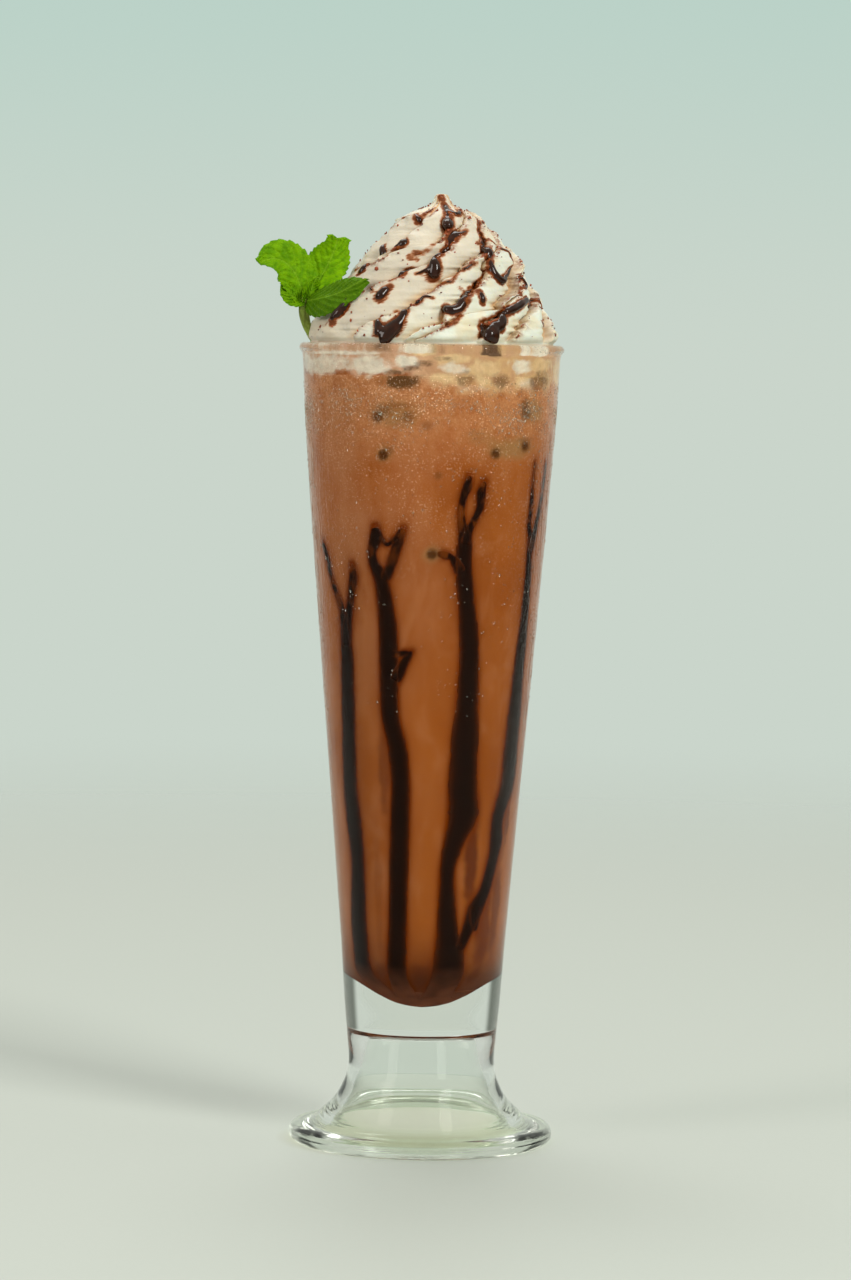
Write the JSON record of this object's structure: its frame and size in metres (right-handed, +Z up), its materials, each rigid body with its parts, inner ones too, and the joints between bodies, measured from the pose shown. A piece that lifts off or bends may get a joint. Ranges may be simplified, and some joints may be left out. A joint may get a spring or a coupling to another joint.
{
  "type": "iced mocha in a footed glass",
  "caption": "Tall tapered glass on a round foot, filled with iced mocha over dark syrup, with piped cream, chocolate sauce and a mint sprig on top.",
  "frame": {"origin": "bottom centre of the bounding box of the whole, the overhanging mint leaves included; the glass's own axis stands 6.06 mm to +X of it", "axes": "+Z up along the glass, -Y towards the viewer, +X to the viewer's right; the mint sprig is on the -X side"},
  "size_m": [0.0885, 0.076, 0.2729],
  "materials": {
    "glass": "clear, glossy",
    "drink": "milky brown liquid",
    "syrup": "dark glossy syrup",
    "cream": "whipped cream, satin",
    "mint_sprig": "fresh leaf"
  },
  "bodies": {
    "root": {"glass": "glass", "drink": "drink", "syrup": "syrup", "cream": "cream", "mint_sprig": "mint_sprig"}
  },
  "joints": []
}
